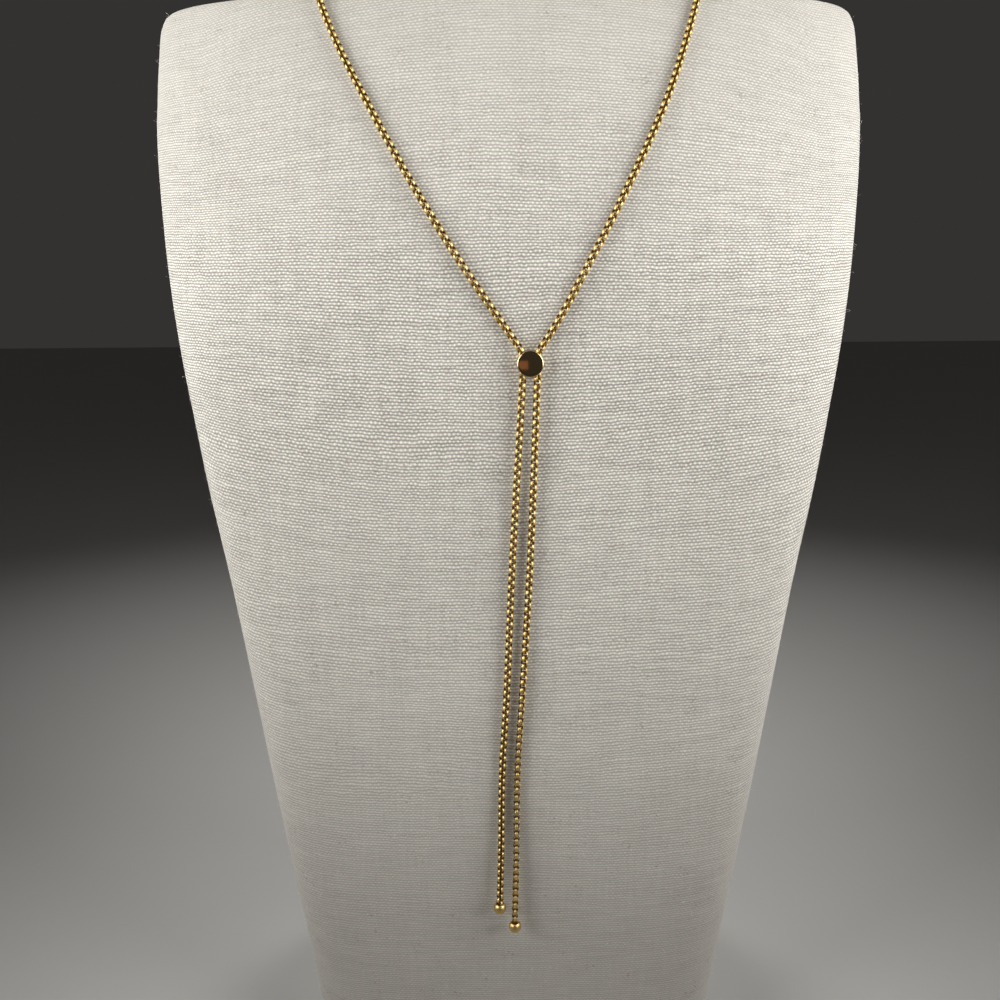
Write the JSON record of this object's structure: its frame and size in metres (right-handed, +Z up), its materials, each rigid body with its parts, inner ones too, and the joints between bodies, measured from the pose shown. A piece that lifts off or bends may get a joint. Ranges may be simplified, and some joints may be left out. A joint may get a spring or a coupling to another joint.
{
  "type": "y necklace on a neck bust",
  "caption": "Gold-tone box chain necklace with a round slider and long tails that end in small balls, shown on a linen-covered neck bust.",
  "frame": {"origin": "middle of the bust's base, on the surface that it stands on", "axes": "+Z up, -Y the way the chest and the necklace face, +X to the right as the picture shows it"},
  "size_m": [0.216, 0.1146, 0.385],
  "materials": {
    "linen": "plain weave, unbleached",
    "gold_tone_steel": "polished, gold-tone plated"
  },
  "bodies": {
    "root": {"bust": "linen", "chain": "gold_tone_steel", "slider": "gold_tone_steel", "end_ball_left": "gold_tone_steel", "end_ball_right": "gold_tone_steel"}
  },
  "joints": []
}
